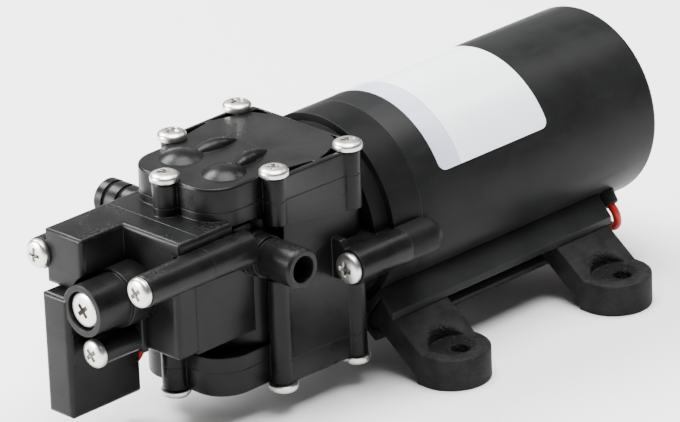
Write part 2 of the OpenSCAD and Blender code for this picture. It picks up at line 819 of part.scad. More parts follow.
// Part of the switch box on one side of the lid's joint
module box_part(y0, y1) {
    intersection() {
        union() box_outside();
        translate([box_front - 5, y0, -box_low - 5]) cube([box_rear - box_front + 10, y1 - y0, 2 * box_low]);
    }
}

module switch_housing() {
    color("#1b1c1e") placed() difference() {
        union() {
            along(tower_x) cylinder(r = tower_r, h = tower_len);
            along(wall_x - 7.7) cylinder(r = tower_r + 1.06, h = 7.7);
            box_part(box_y - 1, lid_y);
            along(tube_front + 0.2, post_y, post_z) cylinder(r = 3.6, h = wall_x - tube_front - 0.2);
            translate([wall_x - 2, post_y - 3.6, post_z - 3.6]) cube([2, 9, 14]);
        }
        along(tower_x - 1) cylinder(r = 5.4, h = 4.6);
        along(tower_x - 1) cylinder(r = 2 + run_gap, h = 9);
        along(tower_x + 5) cylinder(r = 5.2, h = tower_len - 5);
        translate([tower_x + 5, -0.8, -5.9]) cube([6, 1.6, 4]);
        along(wall_x - 1) cylinder(r = 7.4, h = 3);
        translate([wall_x - 6.4, 3, arm_z - 1.9]) cube([4.6, 6, 3.8]);
        translate([box_front + box_t, box_y + box_t, -box_low + box_t]) {
            cube([wall_x - box_front - 2 * box_t, 20, box_low + box_top - 2 * box_t]);
        }
        translate([box_front + box_t, box_y + box_t, -box_low + box_t]) {
            cube([box_rear - box_front - 2 * box_t, 20, box_low - manifold_low - 0.1 - 2 * box_t]);
        }
        along(box_rear - 3, button_y - 0.5, terminal_z) cylinder(r = lead_r + 0.1, h = 9);
        along(tube_front - 1, post_y, post_z) cylinder(r = screw_r + 0.2, h = 30);
    }
}

module switch_cover() {
    color("#1b1c1e") placed() box_part(lid_y, lid_y + 5);
}

module adjuster_screw() {
    color("#c9ccd0") placed() difference() {
        turned([
            [0, tower_x + 0.2], [3.6, tower_x + 0.2], [4.6, tower_x + 0.8], [5, tower_x + 1.7],
            [5, tower_x + 3.3],
            [2, tower_x + 3.3], [2, tower_x + 11.5], [0, tower_x + 11.5]
        ]);
        translate([tower_x + 0.2, 0, 0]) cross_recess(2.6, 1.1, 1.6);
    }
}

module spring_seat() {
    color("#b08d46") placed() difference() {
        union() {
            along(seat_x) cylinder(r = 4.9, h = 2.4);
            translate([seat_x, -0.5, -5.6]) cube([2.4, 1, 2]);
        }
        along(seat_x - 1) cylinder(r = 2 + run_gap, h = 5);
    }
}

module range_spring() {
    color("#b9bcc0") placed() along(spring_x) coil(3.6, 0.5, plunger_x - spring_x, 3.5);
}

module plunger() {
    color("#e3e1da") placed() union() {
        along(plunger_x) cylinder(r = 4.9, h = 1.6);
        along(plunger_x + 1) cylinder(r = 3.5, h = wall_x - 1 - move_gap - plunger_x - 1);
        translate([plunger_x, 2, arm_z - 1.5]) cube([1.6, button_y - 0.5, 3]);
    }
}

module switch_diaphragm() {
    color("#26282b") placed() along(wall_x - 1) cylinder(r = 7.4, h = 1);
}

module microswitch() {
    color("#121315") placed() difference() {
        translate([box_front + box_t, box_y + box_t, -box_low + box_t + 2]) {
            cube([button_x - 1.1 - box_front - box_t, box_w - 1 - box_t, box_low + box_top - 2 * box_t - 2]);
        }
        along(button_x - 5.2, button_y, arm_z) cylinder(r = 1 + run_gap, h = 10);
    }
}

module switch_button() {
    color("#b4402f") placed() along(button_x - 3.8, button_y, arm_z) cylinder(r = 1, h = 3.8);
}

module switch_terminals() {
    color("#c8a24a") placed() for (z = [terminal_z, terminal_z + 12]) {
        translate([button_x - 1.1, button_y - 0.9, z - 2.2]) cube([3.4, 0.8, 4.4]);
    }
}

// Points of the lead from the grommet through the rail tunnel to the motor flange
function motor_lead_path() =
    let (g = [-cos(grommet_a), -sin(grommet_a)], e = (can_r + 3.6) * g, p = lead_at,
        h = unit([0.9, 0.436]), r = 6.4, x1 = rail_x + rail_len, q = p - r * h,
        bend = 4.6, turn = 206 - grommet_a, c = e + bend * [sin(grommet_a), -cos(grommet_a)],
        f = unit(p), x2 = flange_x + 7.5)
    concat(
        [for (k = [can_r - 2.4, can_r + 0.6]) [grommet_x, k * g[0], k * g[1]]],
        [for (i = [0:8]) let (w = i / 8, a = 90 + grommet_a + w * turn, s = c + bend * [cos(a), sin(a)],
            d = q - (c + bend * [cos(296), sin(296)]))
            [grommet_x + w * (x1 + r - grommet_x), s[0] + w * d[0], s[1] + w * d[1]]],
        [for (t = [18:18:90])
            [x1 + r - r * (1 - cos(t)), q[0] + r * sin(t) * h[0], q[1] + r * sin(t) * h[1]]],
        [for (i = [1:10]) [x1 + (x2 - x1) * i / 10, p[0], p[1]]],
        [for (t = [18:18:90])
            [x2 - 5 * sin(t), p[0] - 5 * (1 - cos(t)) * f[0], p[1] - 5 * (1 - cos(t)) * f[1]]],
        [[x2 - 5, p[0] - 6 * f[0], p[1] - 6 * f[1]]]
    );

module motor_lead() {
    color("#b3261e") placed() wire(motor_lead_path(), lead_r - 0.02, [1, 0, 0], 10);
}

module switch_lead() {
    x = box_rear;
    y = button_y - 0.5;
    end = seam_x + 2.9;
    bend = end - x;
    color("#b3261e") placed() wire(concat(
        [for (k = [-4.6, -1, 0]) [x + k, y, terminal_z]],
        [for (t = [15:15:90]) [x + bend * sin(t), y, terminal_z + bend * (1 - cos(t))]],
        [[end, y, -manifold_low + 2]]
    ), lead_r - 0.02, [0, 1, 0], 10);
}

upper_cover();
lower_cover();
pump_body();
front_manifold();
manifold_seal();
cover_screws();
manifold_screws();
switch_screw();
upper_diaphragm();
lower_diaphragm();
upper_piston();
lower_piston();
piston_screws();
upper_valve_plate();
lower_valve_plate();
upper_valves();
lower_valves();
upper_gasket();
lower_gasket();
eccentric();
drive_bush();
drive_yoke();
motor_flange();
motor_can();
motor_label();
armature_core();
armature_windings();
commutator();
motor_shaft();
front_bearing();
rear_bearing();
magnets();
brush_card();
brushes();
brush_springs();
motor_screws();
lead_grommet();
base_rail();
front_left_foot();
front_right_foot();
rear_left_foot();
rear_right_foot();
switch_housing();
switch_cover();
adjuster_screw();
spring_seat();
range_spring();
plunger();
switch_diaphragm();
microswitch();
switch_button();
switch_terminals();
motor_lead();
switch_lead();
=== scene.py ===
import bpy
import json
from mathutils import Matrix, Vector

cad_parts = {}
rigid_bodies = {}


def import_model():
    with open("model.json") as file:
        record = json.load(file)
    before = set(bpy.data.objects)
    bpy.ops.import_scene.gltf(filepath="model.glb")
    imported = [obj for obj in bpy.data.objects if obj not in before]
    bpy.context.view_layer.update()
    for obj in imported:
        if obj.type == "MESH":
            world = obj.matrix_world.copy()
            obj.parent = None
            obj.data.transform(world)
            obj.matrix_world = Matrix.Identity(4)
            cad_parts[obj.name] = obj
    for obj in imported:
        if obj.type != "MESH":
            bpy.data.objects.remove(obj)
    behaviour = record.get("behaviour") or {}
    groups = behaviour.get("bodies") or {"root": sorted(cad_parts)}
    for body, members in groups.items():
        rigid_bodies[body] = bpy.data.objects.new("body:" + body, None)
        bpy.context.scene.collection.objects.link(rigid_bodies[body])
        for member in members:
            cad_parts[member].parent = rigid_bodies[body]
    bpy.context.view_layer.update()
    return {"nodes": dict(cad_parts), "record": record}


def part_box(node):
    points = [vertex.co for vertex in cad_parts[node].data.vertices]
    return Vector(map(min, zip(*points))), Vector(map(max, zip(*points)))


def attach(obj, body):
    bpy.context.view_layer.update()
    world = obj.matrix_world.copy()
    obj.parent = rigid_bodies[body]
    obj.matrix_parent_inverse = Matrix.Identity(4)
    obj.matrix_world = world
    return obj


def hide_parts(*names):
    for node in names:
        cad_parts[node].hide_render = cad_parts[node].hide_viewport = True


bl_info = {
    "name": "Caravan water pump",
    "version": (1, 0, 0),
    "blender": (4, 5, 0),
    "location": "3D View > Sidebar > Pump",
    "description": "Dresses the diaphragm water pump and sets its studio",
    "category": "Add Mesh",
}

import json
import math

import bmesh
import bpy
from bpy.props import FloatProperty, FloatVectorProperty, IntProperty, PointerProperty
from mathutils import Matrix, Vector

for leftover in list(bpy.data.objects):
    bpy.data.objects.remove(leftover)
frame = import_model()
MM = 0.001
BODY_OF = {n: body for body, names in frame["record"]["behaviour"]["bodies"].items() for n in names}
SLOT_OF = {part["node"]: part["material_slot"] for part in frame["record"]["subparts"]}


def length(name, about, default):
    """A size of the dressed pump that a user may change."""
    return FloatProperty(name=name, description=about, default=default, min=0.0, subtype="DISTANCE", unit="LENGTH")


def tint(name, about, default):
    """A colour of the dressed pump that a user may change."""
    return FloatVectorProperty(name=name, description=about, default=default, size=3, min=0.0, max=1.0, subtype="COLOR")


class PumpSizes(bpy.types.PropertyGroup):
    """Softness of edges and fine sizes of the pieces"""

    cover_fillet: length("Cover fillet", "Rounding along the outer edge of each cover", 0.7 * MM)
    body_edge: length("Body edge", "Rounding of the moulded edges of the pump body", 0.3 * MM)
    foot_edge: length("Foot edge", "Rounding of the edges of the rubber feet", 0.45 * MM)
    rail_edge: length("Rail edge", "Rounding of the edges of the rails", 0.25 * MM)
    screw_edge: length("Screw edge", "Rounding of the edges of a screw recess", 0.09 * MM)
    label_corner: length("Label corner", "Radius of the corners of the label", 2.5 * MM)
    film: length("Label film", "Thickness of the label", 0.12 * MM)
    round_steps: IntProperty(name="Steps", description="Steps of a turned piece", default=72, min=12, max=180)


class PumpColours(bpy.types.PropertyGroup):
    """Colours of the finishes"""

    plastic: tint("Plastic", "Black moulding of the pump head", (0.0055, 0.0056, 0.0058))
    paint: tint("Paint", "Satin black of the motor", (0.0098, 0.0100, 0.0103))
    rubber: tint("Rubber", "Rubber of the feet", (0.0085, 0.0086, 0.0087))
    steel: tint("Steel", "Stainless steel of the screws", (0.68, 0.665, 0.635))
    film: tint("Film", "White film of the label", (0.91, 0.935, 0.98))
    band: tint("Band", "Plain band on the label", (0.36, 0.38, 0.55))
    lead: tint("Lead", "Insulation of the leads", (0.47, 0.014, 0.012))
    floor: tint("Floor", "Studio floor", (0.86, 0.86, 0.86))


class PumpStudio(bpy.types.PropertyGroup):
    """Camera and lights"""

    azimuth: FloatProperty(name="Azimuth", description="Camera angle round the pump, in degrees", default=-43.9)
    elevation: FloatProperty(name="Elevation", description="Camera angle above the floor, in degrees", default=23.08)
    roll: FloatProperty(name="Roll", description="Tilt of the picture, in degrees", default=2.36)
    distance: length("Distance", "From the camera to the middle of the view", 1.5)
    lens: FloatProperty(name="Lens", description="Focal length in millimetres", default=299.0)
    key_power: FloatProperty(name="Key", description="Power of the soft light overhead, in watts", default=56.0)
    side_power: FloatProperty(name="Side", description="Power of the soft light at the head end, in watts", default=54.0)
    rim_power: FloatProperty(name="Rim", description="Power of the soft light behind, in watts", default=1.5)
    back_glint: FloatProperty(name="Back glint", description="Power of the light for front edges, in watts", default=26.0)
    side_glint: FloatProperty(name="Side glint", description="Power of the light for side edges, in watts", default=3.0)
    sky: FloatProperty(name="Sky", description="Strength of the even light", default=0.10)


class Value:
    """A socket in a finish: arithmetic on it adds Math nodes."""

    def __init__(self, finish, socket):
        self.finish = finish
        self.socket = socket

    def maths(self, operation, first, second):
        return self.finish.node("ShaderNodeMath", {"operation": operation}, {0: first, 1: second})

    def __add__(self, other):
        return self.maths("ADD", self, other)

    def __radd__(self, other):
        return self.maths("ADD", other, self)

    def __sub__(self, other):
        return self.maths("SUBTRACT", self, other)

    def __rsub__(self, other):
        return self.maths("SUBTRACT", other, self)

    def __mul__(self, other):
        return self.maths("MULTIPLY", self, other)

    def __rmul__(self, other):
        return self.maths("MULTIPLY", other, self)

    def size(self):
        """The value without its sign."""
        return self.maths("ABSOLUTE", self, 0.0)

    def above(self, low, high):
        """Zero below low, one above high and smooth between."""
        settings = {"interpolation_type": "SMOOTHSTEP"}
        return self.finish.node("ShaderNodeMapRange", settings, {"Value": self, "From Min": low, "From Max": high})


class Finish:
    """A material whose nodes are made by one method."""

    def __init__(self, name):
        self.material = bpy.data.materials.new(name)
        self.material.use_nodes = True
        self.tree = self.material.node_tree
        self.shader = next(n for n in self.tree.nodes if n.type == "BSDF_PRINCIPLED")

    def feed(self, socket, given):
        """Sets a socket's value, or links a value to it."""
        if isinstance(given, Value):
            self.tree.links.new(given.socket, socket)
        elif socket.type == "RGBA" and len(given) == 3:
            socket.default_value = (*given, 1.0)
        else:
            socket.default_value = given

    def node(self, kind, settings, inputs, output=0):
        """One node with its settings and its inputs; gives one of its outputs."""
        made = self.tree.nodes.new(kind)
        for name, setting in settings.items():
            setattr(made, name, setting)
        for name, given in inputs.items():
            self.feed(made.inputs[name], given)
        return Value(self, made.outputs[output])

    def shade(self, **inputs):
        """Feeds the shader's sockets, named with underscores."""
        for name, given in inputs.items():
            self.feed(self.shader.inputs[name.replace("_", " ")], given)
        return self.material

    def place(self):
        return self.node("ShaderNodeTexCoord", {}, {}, "Object")

    def axes(self):
        """The three coordinates of a point, each as a value."""
        split = self.node("ShaderNodeSeparateXYZ", {}, {0: self.place()})
        return [Value(self, s) for s in split.socket.node.outputs]

    def noise(self, size, detail=2.0, stretch=(1.0, 1.0, 1.0)):
        """Soft noise with spots of about a size in metres."""
        at = self.node("ShaderNodeMapping", {}, {"Vector": self.place(), "Scale": stretch})
        inputs = {"Vector": at, "Scale": 1.0 / size, "Detail": detail, "Roughness": 0.55}
        return self.node("ShaderNodeTexNoise", {}, inputs, "Fac")

    def mix(self, amount, first, second):
        """A blend of two colours."""
        return self.node("ShaderNodeMix", {"data_type": "RGBA"}, {0: amount, 6: first, 7: second}, 2)

    def soft_normal(self, radius):
        """Normal of the surface with its sharp edges rounded off."""
        return self.node("ShaderNodeBevel", {"samples": 6}, {"Radius": radius})

    def edge(self, soft):
        """One on sharp edges and zero on plain faces."""
        plain = self.node("ShaderNodeNewGeometry", {}, {}, "Normal")
        same = self.node("ShaderNodeVectorMath", {"operation": "DOT_PRODUCT"}, {0: soft, 1: plain}, "Value")
        return (1.0 - same).above(0.01, 0.22)

    def upward(self):
        """One on faces that look up, where dust settles."""
        plain = self.node("ShaderNodeNewGeometry", {}, {}, "Normal")
        split = self.node("ShaderNodeSeparateXYZ", {}, {0: plain}, "Z")
        return split.above(0.75, 0.97)

    def bump(self, height, depth, normal=None, strength=1.0):
        inputs = {"Height": height, "Distance": depth, "Strength": strength}
        if normal is not None:
            inputs["Normal"] = normal
        return self.node("ShaderNodeBump", {}, inputs)


def lighter(colour, factor):
    return tuple(min(1.0, c * factor) for c in colour)


def moulded_plastic(name, colour, roughness, grain=0.00003, pitted=0.0):
    """Spark-grained moulding with flow marks, edges made pale as rubbing wear and as painted highlight, pitted patches
    on top faces whose pale specks are painted glints, and a little dust.
    """
    f = Finish(name)
    soft = f.soft_normal(0.5 * MM)
    edge = f.edge(soft)
    cloud = f.noise(11 * MM, 4.0)
    flow = f.noise(4 * MM, 3.0, (0.3, 1.0, 1.0))
    fine = f.noise(0.28 * MM, 3.0)
    dust = f.noise(0.6 * MM, 2.0).above(0.64, 0.76)
    patches = f.upward() * f.noise(12 * MM, 2.0).above(0.48, 0.62) * pitted
    # Pitted texture on top faces: its pale tone is a painted glint, while its bump and lower roughness are real.
    pits_and_glints = f.noise(0.55 * MM, 2.0).above(0.50, 0.62) * patches
    scuff = f.noise(1.3 * MM, 4.0, (0.25, 1.0, 1.0)).above(0.62, 0.74)
    # Pale edges: partly rubbing wear, partly painted highlight on the edges.
    rubbed_and_highlit = edge * (0.35 + 0.65 * f.noise(1.6 * MM, 2.0))
    tone = f.mix(cloud.above(0.3, 0.7), lighter(colour, 0.6), lighter(colour, 1.5))
    tone = f.mix(dust * 0.12, tone, lighter(colour, 5.0))
    tone = f.mix(scuff * 0.10, tone, lighter(colour, 3.0))
    tone = f.mix(pits_and_glints * 0.30, tone, lighter(colour, 6.0))
    tone = f.mix(rubbed_and_highlit * 0.55, tone, lighter(colour, 9.0))
    rough = roughness - 0.11 + 0.16 * cloud + 0.10 * flow - 0.08 * edge - 0.08 * pits_and_glints
    normal = f.bump(fine + 0.5 * flow + 1.1 * pits_and_glints, grain, soft, 0.8)
    return f.shade(Base_Color=tone, Roughness=rough, Normal=normal, Specular_IOR_Level=0.13)


def satin_paint(name, colour, roughness):
    """Sprayed satin paint with a fine orange peel, scuffs, and edges made pale as thin paint and as painted highlight.
    """
    f = Finish(name)
    soft = f.soft_normal(0.4 * MM)
    edge = f.edge(soft)
    peel = f.noise(1.1 * MM, 2.0)
    fine = f.noise(0.3 * MM, 2.0)
    cloud = f.noise(13 * MM, 4.0)
    handled = f.noise(4 * MM, 5.0, (0.35, 1.0, 1.0)).above(0.52, 0.72)
    scuff = f.noise(1.6 * MM, 3.0, (1.0, 0.3, 0.3)).above(0.66, 0.76)
    speck = f.noise(0.5 * MM, 1.0).above(0.70, 0.78)
    tone = f.mix(cloud.above(0.3, 0.7), lighter(colour, 0.85), lighter(colour, 1.2))
    tone = f.mix(handled * 0.15, tone, lighter(colour, 2.0))
    tone = f.mix(scuff * 0.18, tone, lighter(colour, 3.5))
    tone = f.mix(speck * 0.20, tone, lighter(colour, 6.0))
    # Pale edges: partly thin paint, partly painted highlight on the edges.
    tone = f.mix(edge * 0.6 * peel, tone, lighter(colour, 8.0))
    rough = roughness - 0.10 + 0.18 * cloud + 0.10 * handled
    normal = f.bump(peel + 0.35 * fine, 0.00003, soft, 0.8)
    return f.shade(Base_Color=tone, Roughness=rough, Normal=normal, Specular_IOR_Level=0.08)


def matt_rubber(name, colour, roughness, holes=None):
    """Dry moulded rubber with bloom, crumbs on its top faces, edges made pale as scuffs and as painted highlight, and
    painted shade with torn rough texture in the counterbore round its holes.
    """
    f = Finish(name)
    soft = f.soft_normal(0.6 * MM)
    edge = f.edge(soft)
    bloom = f.noise(7 * MM, 5.0)
    grain = f.noise(0.4 * MM, 3.0)
    specks = f.noise(0.55 * MM, 1.0).above(0.64, 0.74)
    scuff = f.noise(2.2 * MM, 5.0, (0.4, 1.0, 1.6)).above(0.50, 0.70)
    settled = f.upward() * f.noise(2.4 * MM, 5.0).above(0.46, 0.62)
    crumbs = f.upward() * f.noise(0.8 * MM, 2.0).above(0.60, 0.68)
    tone = f.mix(bloom.above(0.3, 0.7), lighter(colour, 0.55), lighter(colour, 1.7))
    tone = f.mix(scuff * 0.14, tone, lighter(colour, 4.0))
    tone = f.mix(specks * 0.22, tone, lighter(colour, 7.0))
    tone = f.mix(settled * 0.55, tone, lighter(colour, 0.45))
    tone = f.mix(crumbs * 0.40, tone, (0.052, 0.046, 0.038))
    # Pale edges: partly scuffs, partly painted highlight on the edges.
    tone = f.mix(edge * (0.15 + 0.30 * scuff), tone, lighter(colour, 5.0))
    rough = roughness - 0.10 + 0.20 * bloom - 0.06 * edge
    height = grain + 0.6 * scuff + 1.2 * crumbs
    if holes:
        x, y, z = f.axes()
        across = x.size() - holes[0]
        along = y.size() - holes[1]
        # Counterbore round each hole: darkened as painted shade, and given torn rough texture.
        shaded_counterbore = 1.0 - (across * across + along * along).above((5.4 * MM) ** 2, (7.6 * MM) ** 2)
        torn = shaded_counterbore * f.noise(1.1 * MM, 4.0).above(0.36, 0.60)
        # Painted shade in the counterbore.
        tone = f.mix(shaded_counterbore * 0.85, tone, lighter(colour, 0.30))
        tone = f.mix(torn * specks * 0.6, tone, lighter(colour, 7.0))
        height = height + 7.0 * torn
    normal = f.bump(height, 0.00007, soft, 0.8)
    return f.shade(Base_Color=tone, Roughness=rough, Normal=normal, Specular_IOR_Level=0.13)


def bare_metal(name, colour, roughness, streak=(1.0, 1.0, 1.0)):
    """Plain metal with fine streaks, duller patches and painted shade in the screw recesses."""
    f = Finish(name)
    patch = f.noise(3.5 * MM, 3.0)
    streaks = f.noise(0.25 * MM, 3.0, streak)
    stain = f.noise(1.4 * MM, 4.0).above(0.58, 0.80)
    tone = f.mix(patch, lighter(colour, 0.82), lighter(colour, 1.08))
    tone = f.mix(stain * 0.45, tone, lighter(colour, 0.40))
    # Faces marked as recess get painted shade.
    recess_shade = f.node("ShaderNodeAttribute", {"attribute_name": "recess"}, {}, "Fac")
    tone = f.mix(recess_shade * 0.75, tone, (0.11, 0.088, 0.068))
    rough = roughness - 0.06 + 0.14 * patch + 0.06 * streaks + 0.08 * stain
    normal = f.bump(streaks, 0.00001, f.soft_normal(0.12 * MM), 0.6)
    return f.shade(Base_Color=tone, Metallic=1.0, Roughness=rough, Normal=normal)


def label_film(name, colour, band):
    """Coated film, bare apart from one plain band along its front edge and a thin rule beside it."""
    f = Finish(name)
    lo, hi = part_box("motor_label")
    x = f.axes()[0]
    stop = lo.x + 7.6 * MM
    rule = 0.22 * MM
    fade = 0.10 * MM
    stripe = 1.0 - x.above(stop, stop + fade)
    line = x.above(stop, stop + fade) * (1.0 - x.above(stop + rule, stop + rule + fade))
    cloud = f.noise(9 * MM, 3.0)
    speck = f.noise(0.5 * MM, 2.0).above(0.70, 0.82)
    tone = f.mix(cloud, lighter(colour, 0.95), lighter(colour, 1.03))
    tone = f.mix(speck * 0.15, tone, lighter(colour, 0.7))
    tone = f.mix(stripe * (0.45 + 0.35 * f.noise(16 * MM, 1.0)), tone, band)
    tone = f.mix(line * 0.7, tone, lighter(band, 0.4))
    rough = 0.24 + 0.10 * cloud + 0.10 * stripe
    normal = f.bump(f.noise(2.5 * MM, 2.0), 0.00002)
    return f.shade(Base_Color=tone, Roughness=rough, Normal=normal, Coat_Weight=0.25)


def lead_cover(name, colour):
    """Soft red insulation, a little dusty."""
    f = Finish(name)
    cloud = f.noise(4 * MM, 3.0)
    dust = f.noise(0.5 * MM, 2.0).above(0.60, 0.78)
    tone = f.mix(cloud, lighter(colour, 0.8), lighter(colour, 1.15))
    tone = f.mix(dust * 0.15, tone, lighter(colour, 1.8))
    normal = f.bump(f.noise(0.4 * MM, 2.0), 0.00002)
    return f.shade(Base_Color=tone, Roughness=0.34 + 0.14 * cloud, Normal=normal)


def pale_floor(name, colour):
    """Plain studio paper with a hardly visible tooth."""
    f = Finish(name)
    cloud = f.noise(0.3, 2.0)
    tone = f.mix(cloud, lighter(colour, 0.985), lighter(colour, 1.01))
    normal = f.bump(f.noise(0.4 * MM, 2.0), 0.00001)
    return f.shade(Base_Color=tone, Roughness=0.78 + 0.06 * cloud, Normal=normal)


FINISHES = {}
SPOT_SHIFT = 3.0


def make_finishes(colours):
    """One finish for each material slot of the part."""
    plastic, paint, steel = tuple(colours.plastic), tuple(colours.paint), tuple(colours.steel)
    pattern = next(m["dims"] for m in frame["record"]["mounts"] if m["name"] == "foot_holes")
    # Centres of the feet's counterbores, where painted shade goes.
    counterbore_centres = (pattern["spacing_x_mm"] / 2 * MM, (pattern["spacing_y_mm"] / 2 - SPOT_SHIFT) * MM)
    FINISHES.update({
        "head_plastic": moulded_plastic("moulded_black", plastic, 0.27),
        "coarse_plastic": moulded_plastic("moulded_black_coarse", plastic, 0.28, 0.00004, 1.0),
        "seal_rubber": matt_rubber("seal_rubber", (0.012, 0.012, 0.013), 0.62),
        "screw_steel": bare_metal("screw_steel", steel, 0.30),
        "white_plastic": moulded_plastic("natural_white", (0.70, 0.69, 0.64), 0.40),
        "grey_plastic": moulded_plastic("grey_moulding", (0.24, 0.25, 0.27), 0.42),
        "valve_rubber": matt_rubber("valve_rubber", (0.04, 0.13, 0.20), 0.50),
        "bronze": bare_metal("sintered_bronze", (0.50, 0.33, 0.14), 0.36),
        # Flange: the motor paint darkened, painted shade for the flange in the gap between head and motor.
        "flange_paint": satin_paint("flange_paint", lighter(paint, 0.6), 0.46),
        "can_paint": satin_paint("can_paint", paint, 0.40),
        # Rails: the motor paint made paler, painted light for the light on the rails' broad faces.
        "rail_paint": satin_paint("rail_paint", lighter(paint, 1.5), 0.42),
        "label_film": label_film("label_film", tuple(colours.film), tuple(colours.band)),
        "core_steel": bare_metal("core_steel", (0.42, 0.43, 0.44), 0.34, (1.0, 0.2, 0.2)),
        "copper": bare_metal("enamelled_copper", (0.55, 0.20, 0.09), 0.30),
        "magnet": matt_rubber("magnet_ferrite", (0.05, 0.05, 0.055), 0.58),
        "card": moulded_plastic("brown_board", (0.16, 0.075, 0.032), 0.55),
        "foot_rubber": matt_rubber("foot_rubber", tuple(colours.rubber), 0.66, counterbore_centres),
        "switch_plastic": moulded_plastic("switch_black", (0.012, 0.012, 0.013), 0.40),
        "button_plastic": moulded_plastic("button_red", (0.40, 0.05, 0.035), 0.38),
        "lead_red": lead_cover("lead_red", tuple(colours.lead)),
    })


def deselect():
    """Leaves edit mode with nothing selected."""
    if bpy.context.object and bpy.context.object.mode != "OBJECT":
        bpy.ops.object.mode_set(mode="OBJECT")
    bpy.ops.object.select_all(action="DESELECT")


def activate(piece):
    """Makes one object the only selected one."""
    deselect()
    piece.select_set(True)
    bpy.context.view_layer.objects.active = piece


def edit(piece):
    """Opens one object for editing with everything in it selected."""
    activate(piece)
    bpy.ops.object.mode_set(mode="EDIT")
    bpy.ops.mesh.select_mode(type="EDGE")
    bpy.ops.mesh.select_all(action="SELECT")


def select(piece, edges=None, faces=None):
    """Selects the edges or faces of the open mesh that pass a test."""
    mesh = bmesh.from_edit_mesh(piece.data)
    bpy.ops.mesh.select_all(action="DESELECT")
    kind = "EDGE" if edges else "FACE"
    bpy.ops.mesh.select_mode(type=kind)
    test = edges or faces
    for item in (mesh.edges if edges else mesh.faces):
        if test(item):
            item.select_set(True)
    mesh.select_flush_mode()
    bmesh.update_edit_mesh(piece.data)


def smooth(piece, angle=32.0):
    """Shades the gentle edges smooth and keeps the sharp ones."""
    activate(piece)
    bpy.ops.object.shade_smooth_by_angle(angle=math.radians(angle))


def apply_modifier(piece, kind, **settings):
    """Adds a modifier, sets it and applies it."""
    activate(piece)
    made = piece.modifiers.new(kind.lower(), kind)
    for name, setting in settings.items():
        setattr(made, name, setting)
    bpy.ops.object.modifier_apply(modifier=made.name)


def finished(piece, *nodes, finish=None):
    """Places a piece on the body of the nodes that it stands for and gives it their finish."""
    slot = SLOT_OF[nodes[0]]
    piece.data.materials.clear()
    piece.data.materials.append(FINISHES[finish or slot])
    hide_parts(*nodes)
    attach(piece, BODY_OF[nodes[0]])
    return piece


def merged_copy(node, name):
    """A closed copy of a CAD node whose flat faces are whole."""
    source = frame["nodes"][node]
    deselect()
    piece = bpy.data.objects.new(name, source.data.copy())
    piece.data.name = name
    bpy.context.scene.collection.objects.link(piece)
    edit(piece)
    bpy.ops.mesh.customdata_custom_splitnormals_clear()
    bpy.ops.mesh.remove_doubles(threshold=0.001 * MM)
    bpy.ops.mesh.dissolve_limited(angle_limit=math.radians(0.5))
    bpy.ops.object.mode_set(mode="OBJECT")
    return piece


def sharp(edge, low=50.0):
    """An edge that stands out by more than an angle."""
    return len(edge.link_faces) == 2 and edge.calc_face_angle_signed(0.0) > math.radians(low)


def round_off(piece, width, segments, test):
    """Rounds the edges that pass a test."""
    edit(piece)
    select(piece, edges=test)
    bpy.ops.mesh.bevel(offset=width, offset_type="OFFSET", segments=segments, affect="EDGES", clamp_overlap=False)
    bpy.ops.object.mode_set(mode="OBJECT")


def softened(node, name, width, segments=2, test=sharp, finish=None):
    """A copy of a CAD node with rounded edges, in its place."""
    piece = merged_copy(node, name)
    if width > 0.0:
        round_off(piece, width, segments, test)
    smooth(piece)
    return finished(piece, node, finish=finish)


def turned(name, profile, steps, axis="X", centre=(0.0, 0.0, 0.0)):
    """A piece turned from a profile of places along an axis and radii."""
    along = Vector((1.0, 0.0, 0.0)) if axis == "X" else Vector((0.0, 0.0, 1.0))
    out = Vector((0.0, 0.0, 1.0)) if axis == "X" else Vector((1.0, 0.0, 0.0))
    points = [Vector(centre) + a * along + r * out for a, r in profile]
    deselect()
    mesh = bpy.data.meshes.new(name)
    mesh.from_pydata(points, [(i, i + 1) for i in range(len(points) - 1)], [])
    piece = bpy.data.objects.new(name, mesh)
    bpy.context.scene.collection.objects.link(piece)
    edit(piece)
    bpy.ops.mesh.spin(steps=steps, angle=math.tau, center=centre, axis=along)
    bpy.ops.mesh.select_all(action="SELECT")
    bpy.ops.mesh.remove_doubles(threshold=0.001 * MM)
    bpy.ops.mesh.normals_make_consistent(inside=False)
    bpy.ops.object.mode_set(mode="OBJECT")
    return piece


def islands(node):
    """The separate solids of a CAD node, each as a list of its points."""
    mesh = bmesh.new()
    mesh.from_mesh(frame["nodes"][node].data)
    bmesh.ops.remove_doubles(mesh, verts=mesh.verts, dist=0.001 * MM)
    left = set(mesh.verts)
    found = []
    while left:
        todo = [left.pop()]
        points = []
        while todo:
            vert = todo.pop()
            points.append(vert.co.copy())
            for edge in vert.link_edges:
                other = edge.other_vert(vert)
                if other in left:
                    left.discard(other)
                    todo.append(other)
        found.append(points)
    mesh.free()
    return found


def screw_place(points):
    """Axis, head underside, lengths and radii of a screw from its points."""
    lo = Vector(map(min, *points))
    hi = Vector(map(max, *points))
    size = hi - lo
    way = max(range(3), key=lambda i: size[i])
    middle = (lo + hi) / 2
    axis = Vector((0.0, 0.0, 0.0))
    axis[way] = 1.0
    head_r = max(size[(way + 1) % 3], size[(way + 2) % 3]) / 2
    wide = [p[way] for p in points if (p - middle - axis * (p - middle)[way]).length > 0.97 * head_r]
    up = 1.0 if sum(wide) / len(wide) > middle[way] else -1.0
    axis *= up
    under = min(wide) if up > 0 else max(wide)
    top = hi[way] if up > 0 else lo[way]
    tip = lo[way] if up > 0 else hi[way]
    seat = middle.copy()
    seat[way] = under
    return {"axis": axis, "seat": seat, "head_r": head_r, "head_t": abs(top - under), "length": abs(under - tip)}


